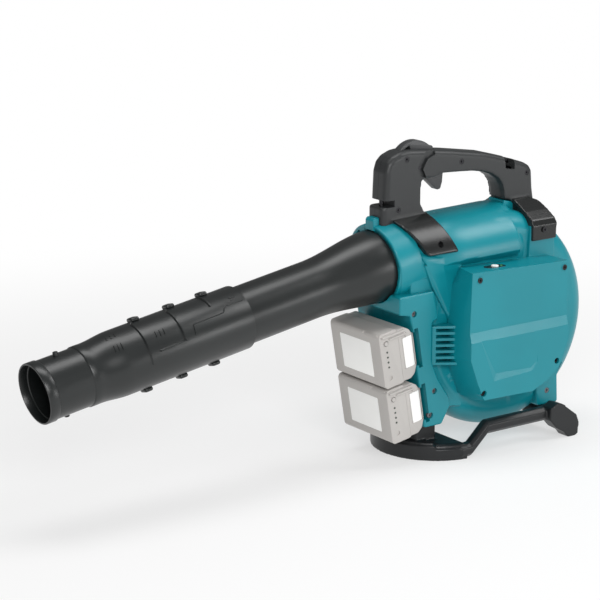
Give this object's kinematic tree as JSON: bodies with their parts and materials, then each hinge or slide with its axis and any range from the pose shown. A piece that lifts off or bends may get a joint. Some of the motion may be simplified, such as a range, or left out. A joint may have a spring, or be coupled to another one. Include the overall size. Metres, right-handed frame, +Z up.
{
  "type": "cordless garden blower",
  "caption": "Hand-held garden blower with a sloping pipe, a round fan housing, a loop handle, two slide-on battery packs and a foot frame.",
  "frame": {"origin": "on the floor under the middle of the machine's length and width", "axes": "+X from the nozzle's mouth towards the back, +Z up; the motor side faces -Y"},
  "size_m": [0.8515, 0.21, 0.4245],
  "materials": {
    "teal_shell": "satin",
    "handle_grey": "satin, finely textured",
    "pipe_black": "satin",
    "foot_charcoal": "satin",
    "pack_grey": "matt",
    "pack_white": "satin",
    "steel": "brushed",
    "black_steel": "blackened",
    "motor_alloy": "satin",
    "copper_wire": "enamelled",
    "fan_nylon": "satin",
    "terminal_black": "matt",
    "panel_black": "gloss",
    "lamp_green": "clear"
  },
  "bodies": {
    "housing": {"housing_left": "teal_shell", "housing_right": "teal_shell", "motor_cover": "teal_shell", "power_panel": "panel_black", "power_lamp": "lamp_green", "handle_left": "handle_grey", "handle_right": "handle_grey", "lever_pin": "steel", "trigger_pin": "steel", "switch_body": "terminal_black", "front_eyelet_pin": "black_steel", "rear_strap_bar": "steel", "foot_frame": "foot_charcoal", "motor_bearings": "steel", "motor_stator": "motor_alloy", "motor_windings": "copper_wire", "motor_case": "motor_alloy", "controller_box": "motor_alloy", "upper_terminal": "terminal_black", "lower_terminal": "terminal_black", "inlet_hinge_pin": "steel", "inlet_switch": "terminal_black", "handle_screws": "steel", "cover_screws": "steel", "housing_screws": "steel", "saddle_screws": "steel", "foot_screws": "steel"},
    "pipe": {"long_pipe": "pipe_black"},
    "end_nozzle": {"end_nozzle": "pipe_black"},
    "cruise_lever": {"cruise_lever": "pipe_black"},
    "trigger": {"trigger": "pipe_black"},
    "power_button": {"power_button": "pack_white"},
    "rotor": {"fan": "fan_nylon", "fan_nut": "steel", "motor_rotor": "steel"},
    "inlet_cover": {"inlet_cover": "pipe_black"},
    "inlet_lock": {"inlet_lock_knob": "pipe_black"},
    "upper_pack": {"upper_pack_case": "pack_grey", "upper_pack_rails": "pack_grey", "upper_pack_label": "pack_white", "upper_gauge_lamps": "lamp_green"},
    "lower_pack": {"lower_pack_case": "pack_grey", "lower_pack_rails": "pack_grey", "lower_pack_label": "pack_white", "lower_gauge_lamps": "lamp_green"},
    "upper_release": {"upper_release_button": "pack_white"},
    "lower_release": {"lower_release_button": "pack_white"},
    "upper_gauge": {"upper_gauge_button": "pack_white"},
    "lower_gauge": {"lower_gauge_button": "pack_white"}
  },
  "joints": [
    {"name": "pipe_twist", "type": "hinge", "parent": "housing", "child": "pipe", "pos_m": [0.09233, 0, 0.2635], "axis": [-0.9857, 0, -0.1685], "range_deg": [0, 35]},
    {"name": "nozzle_extend", "type": "slide", "parent": "pipe", "child": "end_nozzle", "axis": [-0.9857, 0, -0.1685], "range_m": [0, 0.1]},
    {"name": "cruise_lever_turn", "type": "hinge", "parent": "housing", "child": "cruise_lever", "pos_m": [0.15333, 0, 0.3895], "axis": [0, -1, 0], "range_deg": [0, 30]},
    {"name": "trigger_pull", "type": "hinge", "parent": "housing", "child": "trigger", "pos_m": [0.17433, 0, 0.379], "axis": [0, -1, 0], "range_deg": [0, 13], "stiffness_Nm_per_rad": 0.35},
    {"name": "power_button_press", "type": "slide", "parent": "housing", "child": "power_button", "axis": [-0.0297, 0, -0.9996], "range_m": [0, 0.0008], "stiffness_N_per_m": 900},
    {"name": "fan_spin", "type": "hinge", "parent": "housing", "child": "rotor", "pos_m": [0.27733, 0, 0.17], "axis": [0, -1, 0], "continuous": true},
    {"name": "inlet_cover_open", "type": "hinge", "parent": "housing", "child": "inlet_cover", "pos_m": [0.37533, 0.062, 0.17], "axis": [0, 0, -1], "range_deg": [0, 110]},
    {"name": "inlet_lock_turn", "type": "hinge", "parent": "inlet_cover", "child": "inlet_lock", "pos_m": [0.17933, 0.066, 0.17], "axis": [0, 1, 0], "range_deg": [0, 90]},
    {"name": "upper_pack_slide", "type": "slide", "parent": "housing", "child": "upper_pack", "axis": [0, -1, 0], "range_m": [0, 0.115]},
    {"name": "upper_release_press", "type": "slide", "parent": "upper_pack", "child": "upper_release", "axis": [0, 1, 0], "range_m": [0, 0.003], "stiffness_N_per_m": 900},
    {"name": "upper_gauge_press", "type": "slide", "parent": "upper_pack", "child": "upper_gauge", "axis": [0, 1, 0], "range_m": [0, 0.001], "stiffness_N_per_m": 600},
    {"name": "lower_pack_slide", "type": "slide", "parent": "housing", "child": "lower_pack", "axis": [0, -1, 0], "range_m": [0, 0.115]},
    {"name": "lower_release_press", "type": "slide", "parent": "lower_pack", "child": "lower_release", "axis": [0, 1, 0], "range_m": [0, 0.003], "stiffness_N_per_m": 900},
    {"name": "lower_gauge_press", "type": "slide", "parent": "lower_pack", "child": "lower_gauge", "axis": [0, 1, 0], "range_m": [0, 0.001], "stiffness_N_per_m": 600}
  ]
}
